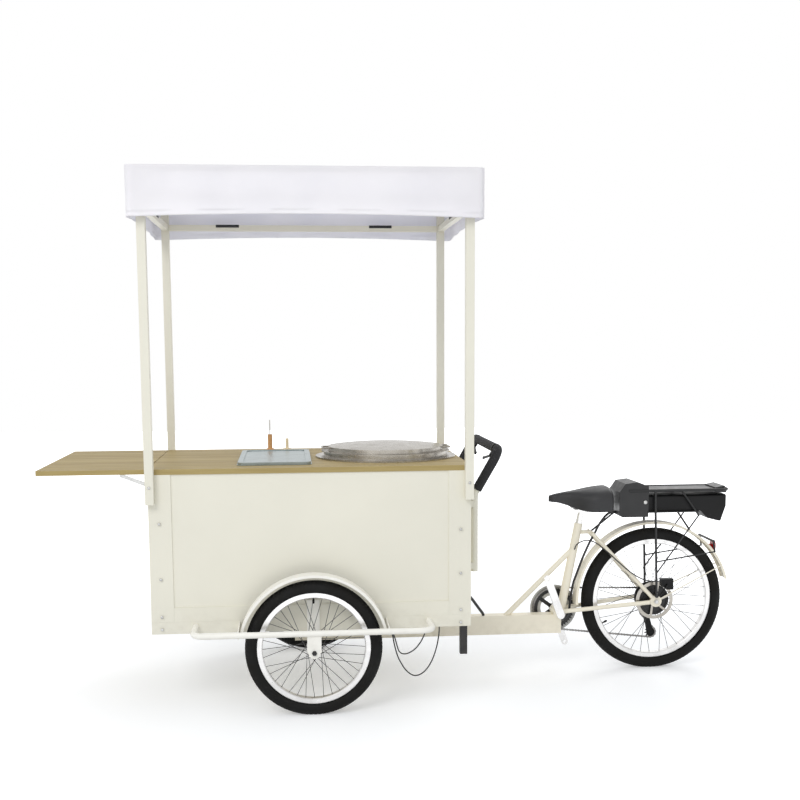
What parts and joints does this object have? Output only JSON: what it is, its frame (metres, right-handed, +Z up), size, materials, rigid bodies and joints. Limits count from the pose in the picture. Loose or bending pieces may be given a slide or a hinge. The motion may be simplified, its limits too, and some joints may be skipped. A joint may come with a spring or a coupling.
{
  "type": "bicycle food cart",
  "caption": "Three-wheeled food vending cart: canopied worktop cabinet on two front wheels, joined by a steering pin to the rear half of an electric bicycle.",
  "frame": {"origin": "centre of the part's footprint, on the ground under the wheels", "axes": "+X from the fold-out shelf towards the rear wheel, +Y to the far side, where the service door is, +Z up"},
  "size_m": [2.7742, 1.14, 2.02],
  "materials": {
    "cream_paint": "satin",
    "black_paint": "satin",
    "board": "satin",
    "stainless": "brushed",
    "alloy": "satin",
    "iron_plate": "matte",
    "canvas": "matte",
    "webbing": "matte",
    "tyre_rubber": "matte",
    "foam": "matte",
    "black_plastic": "matte",
    "saddle_cover": "matte",
    "red_lens": "gloss",
    "cable_casing": "satin"
  },
  "bodies": {
    "cart": {"floor_pan": "cream_paint", "cabinet_frame": "cream_paint", "side_panel_left": "cream_paint", "side_panel_right": "cream_paint", "end_panels": "cream_paint", "worktop": "board", "griddle_body": "stainless", "griddle_plate": "iron_plate", "pan_well": "stainless", "utensils": "board", "shelf_hinge": "stainless", "canopy_posts": "cream_paint", "canopy_frame": "cream_paint", "canopy_cover": "canvas", "canopy_straps": "webbing", "handlebar": "cream_paint", "handlebar_fittings": "foam", "guard_bars": "cream_paint", "front_mudguards": "cream_paint", "front_axles": "black_paint", "steering_head": "cream_paint", "brake_cables": "cable_casing", "conduit": "black_plastic"},
    "service_door": {"service_door": "cream_paint"},
    "griddle_lid": {"griddle_lid": "stainless"},
    "pan_cover": {"pan_cover": "stainless"},
    "shelf": {"shelf": "board", "shelf_leaf": "stainless"},
    "shelf_braces": {"shelf_braces": "stainless"},
    "brake_lever_left": {"brake_lever_left": "black_paint"},
    "brake_lever_right": {"brake_lever_right": "black_paint"},
    "leg_left": {"leg_left": "black_paint"},
    "leg_right": {"leg_right": "black_paint"},
    "front_wheel_left": {"front_tyre_left": "tyre_rubber", "front_rim_left": "alloy", "front_hub_left": "alloy"},
    "front_wheel_right": {"front_tyre_right": "tyre_rubber", "front_rim_right": "alloy", "front_hub_right": "alloy"},
    "rear_frame": {"beam": "cream_paint", "seat_mast": "cream_paint", "chain_stays": "cream_paint", "seat_stays": "cream_paint", "rear_axle": "alloy", "rear_brake": "black_paint", "derailleur": "black_plastic", "rear_mudguard": "cream_paint", "rack": "black_paint", "tail_reflector": "red_lens", "rear_cables": "black_plastic", "chain": "stainless"},
    "rear_wheel": {"rear_tyre": "tyre_rubber", "rear_rim": "alloy", "hub_motor": "black_paint", "brake_rotor": "stainless"},
    "crankset": {"crankset": "alloy"},
    "freewheel": {"freewheel": "alloy"},
    "battery": {"battery": "black_plastic"},
    "saddle": {"seat_post": "alloy", "saddle": "saddle_cover"}
  },
  "joints": [
    {"name": "steering", "type": "hinge", "parent": "cart", "child": "rear_frame", "pos_m": [-0.37907, 0, 0.25], "axis": [0, 0, 1], "range_deg": [-25, 25], "deforming": ["conduit"]},
    {"name": "front_wheel_left_spin", "type": "hinge", "parent": "cart", "child": "front_wheel_left", "pos_m": [-0.37907, -0.481, 0.254], "axis": [0, 1, 0], "continuous": true},
    {"name": "front_wheel_right_spin", "type": "hinge", "parent": "cart", "child": "front_wheel_right", "pos_m": [-0.37907, 0.481, 0.254], "axis": [0, 1, 0], "continuous": true},
    {"name": "rear_wheel_spin", "type": "hinge", "parent": "rear_frame", "child": "rear_wheel", "pos_m": [1.06493, 0, 0.3], "axis": [0, 1, 0], "continuous": true},
    {"name": "crank_spin", "type": "hinge", "parent": "rear_frame", "child": "crankset", "pos_m": [0.65593, 0, 0.254], "axis": [0, 1, 0], "continuous": true, "deforming": ["chain"]},
    {"name": "freewheel_spin", "type": "hinge", "parent": "rear_frame", "child": "freewheel", "pos_m": [1.06493, 0, 0.3], "axis": [0, 1, 0], "continuous": true},
    {"name": "shelf_fold", "type": "hinge", "parent": "cart", "child": "shelf", "pos_m": [-0.99107, 0, 0.898], "axis": [0, -1, 0], "range_deg": [0, 90]},
    {"name": "brace_fold", "type": "hinge", "parent": "cart", "child": "shelf_braces", "pos_m": [-0.99107, 0, 0.856], "axis": [0, -1, 0], "range_deg": [0, 111.42]},
    {"name": "door_swing", "type": "hinge", "parent": "cart", "child": "service_door", "pos_m": [0.12493, 0.4118, 0.72], "axis": [0, 0, -1], "range_deg": [0, 110]},
    {"name": "lid_lift", "type": "slide", "parent": "cart", "child": "griddle_lid", "axis": [0, 0, 1], "range_m": [0, 0.25]},
    {"name": "pan_cover_lift", "type": "slide", "parent": "cart", "child": "pan_cover", "axis": [0, 0, 1], "range_m": [0, 0.25]},
    {"name": "lever_left_squeeze", "type": "hinge", "parent": "cart", "child": "brake_lever_left", "pos_m": [0.33597, -0.214, 0.94144], "axis": [0.866, 0, -0.5], "range_deg": [0, 14], "stiffness_Nm_per_rad": 1, "springref_deg": -11.46},
    {"name": "lever_right_squeeze", "type": "hinge", "parent": "cart", "child": "brake_lever_right", "pos_m": [0.33597, 0.214, 0.94144], "axis": [-0.866, 0, 0.5], "range_deg": [0, 14], "stiffness_Nm_per_rad": 1, "springref_deg": -11.46},
    {"name": "leg_left_drop", "type": "slide", "parent": "cart", "child": "leg_left", "axis": [0, 0, -1], "range_m": [0, 0.18]},
    {"name": "leg_right_drop", "type": "slide", "parent": "cart", "child": "leg_right", "axis": [0, 0, -1], "range_m": [0, 0.18]},
    {"name": "battery_slide", "type": "slide", "parent": "rear_frame", "child": "battery", "axis": [1, 0, 0], "range_m": [0, 0.25]},
    {"name": "saddle_height", "type": "slide", "parent": "rear_frame", "child": "saddle", "axis": [0.1908, 0, 0.9816], "range_m": [-0.03, 0.1]}
  ],
  "couplings": [
    {"joint": "freewheel_spin", "follows": "crank_spin", "ratio": 2.75},
    {"joint": "brace_fold", "follows": "shelf_fold", "ratio": 1.238}
  ]
}
